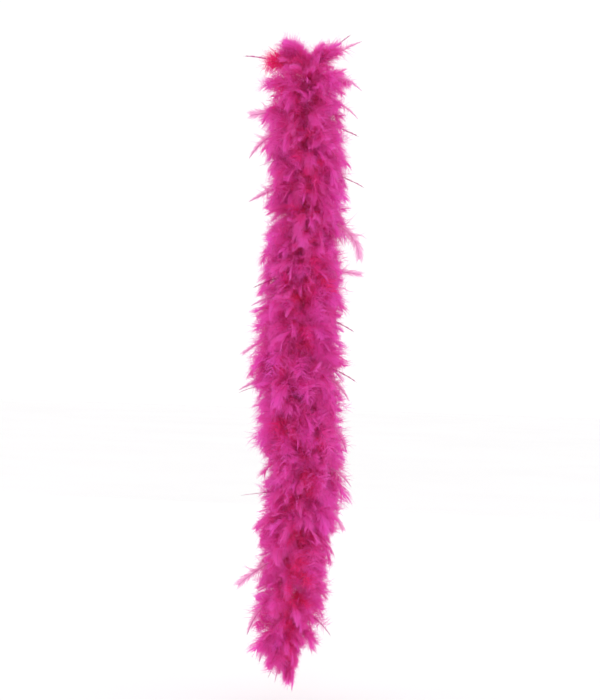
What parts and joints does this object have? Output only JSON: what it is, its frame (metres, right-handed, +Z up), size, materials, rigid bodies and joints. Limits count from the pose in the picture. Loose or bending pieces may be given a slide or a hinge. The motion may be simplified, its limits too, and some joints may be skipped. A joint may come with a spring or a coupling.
{
  "type": "feather boa",
  "caption": "Long fluffy scarf of down-edged feathers bound in rows on a limp core cord, with a thread loop at its top end to hang it up by",
  "frame": {"origin": "the bearing point: the inside top of the hanging loop, where a hook or nail carries the boa", "axes": "+Z up along the hanging core cord, +X to the right and -Y towards the viewer when the boa is seen from its front"},
  "size_m": [0.3348, 0.3348, 1.7778],
  "materials": {
    "feather": "dyed turkey flat feather, soft and matt with downy edges",
    "core_cord": "dyed cotton cord of two plies laid together",
    "loop_cord": "dyed cotton cord, thinner than the core",
    "thread": "dyed polyester sewing thread, wound tight"
  },
  "bodies": {
    "stretch_01": {"hang_loop": "loop_cord", "top_whipping": "thread", "core_cord_01": "core_cord", "binding_thread_01": "thread", "feather_tufts_01": "feather", "feather_pile_01": "feather"},
    "stretch_02": {"core_cord_02": "core_cord", "binding_thread_02": "thread", "feather_tufts_02": "feather", "feather_pile_02": "feather"},
    "stretch_03": {"core_cord_03": "core_cord", "binding_thread_03": "thread", "feather_tufts_03": "feather", "feather_pile_03": "feather"},
    "stretch_04": {"core_cord_04": "core_cord", "binding_thread_04": "thread", "feather_tufts_04": "feather", "feather_pile_04": "feather"},
    "stretch_05": {"core_cord_05": "core_cord", "binding_thread_05": "thread", "feather_tufts_05": "feather", "feather_pile_05": "feather"},
    "stretch_06": {"core_cord_06": "core_cord", "binding_thread_06": "thread", "feather_tufts_06": "feather", "feather_pile_06": "feather"},
    "stretch_07": {"core_cord_07": "core_cord", "binding_thread_07": "thread", "feather_tufts_07": "feather", "feather_pile_07": "feather"},
    "stretch_08": {"core_cord_08": "core_cord", "binding_thread_08": "thread", "feather_tufts_08": "feather", "feather_pile_08": "feather"},
    "stretch_09": {"core_cord_09": "core_cord", "binding_thread_09": "thread", "feather_tufts_09": "feather", "feather_pile_09": "feather"},
    "stretch_10": {"core_cord_10": "core_cord", "binding_thread_10": "thread", "feather_tufts_10": "feather", "feather_pile_10": "feather"},
    "stretch_11": {"core_cord_11": "core_cord", "binding_thread_11": "thread", "feather_tufts_11": "feather", "feather_pile_11": "feather"},
    "stretch_12": {"core_cord_12": "core_cord", "binding_thread_12": "thread", "feather_tufts_12": "feather", "feather_pile_12": "feather", "end_knot": "core_cord"}
  },
  "joints": [
    {"name": "bend_01", "type": "hinge", "parent": "stretch_01", "child": "stretch_02", "pos_m": [0, 0, -0.169], "axis": [0, 1, 0], "range_deg": [-30, 30], "deforming": ["feather_pile_01"]},
    {"name": "bend_02", "type": "hinge", "parent": "stretch_02", "child": "stretch_03", "pos_m": [0, 0, -0.302], "axis": [1, 0, 0], "range_deg": [-30, 30], "deforming": ["feather_pile_02"]},
    {"name": "bend_03", "type": "hinge", "parent": "stretch_03", "child": "stretch_04", "pos_m": [0, 0, -0.435], "axis": [0, 1, 0], "range_deg": [-30, 30], "deforming": ["feather_pile_03"]},
    {"name": "bend_04", "type": "hinge", "parent": "stretch_04", "child": "stretch_05", "pos_m": [0, 0, -0.568], "axis": [1, 0, 0], "range_deg": [-30, 30], "deforming": ["feather_pile_04"]},
    {"name": "bend_05", "type": "hinge", "parent": "stretch_05", "child": "stretch_06", "pos_m": [0, 0, -0.701], "axis": [0, 1, 0], "range_deg": [-30, 30], "deforming": ["feather_pile_05"]},
    {"name": "bend_06", "type": "hinge", "parent": "stretch_06", "child": "stretch_07", "pos_m": [0, 0, -0.834], "axis": [1, 0, 0], "range_deg": [-30, 30], "deforming": ["feather_pile_06"]},
    {"name": "bend_07", "type": "hinge", "parent": "stretch_07", "child": "stretch_08", "pos_m": [0, 0, -0.967], "axis": [0, 1, 0], "range_deg": [-30, 30], "deforming": ["feather_pile_07"]},
    {"name": "bend_08", "type": "hinge", "parent": "stretch_08", "child": "stretch_09", "pos_m": [0, 0, -1.1], "axis": [1, 0, 0], "range_deg": [-30, 30], "deforming": ["feather_pile_08"]},
    {"name": "bend_09", "type": "hinge", "parent": "stretch_09", "child": "stretch_10", "pos_m": [0, 0, -1.233], "axis": [0, 1, 0], "range_deg": [-30, 30], "deforming": ["feather_pile_09"]},
    {"name": "bend_10", "type": "hinge", "parent": "stretch_10", "child": "stretch_11", "pos_m": [0, 0, -1.366], "axis": [1, 0, 0], "range_deg": [-30, 30], "deforming": ["feather_pile_10"]},
    {"name": "bend_11", "type": "hinge", "parent": "stretch_11", "child": "stretch_12", "pos_m": [0, 0, -1.499], "axis": [0, 1, 0], "range_deg": [-30, 30], "deforming": ["feather_pile_11"]}
  ]
}
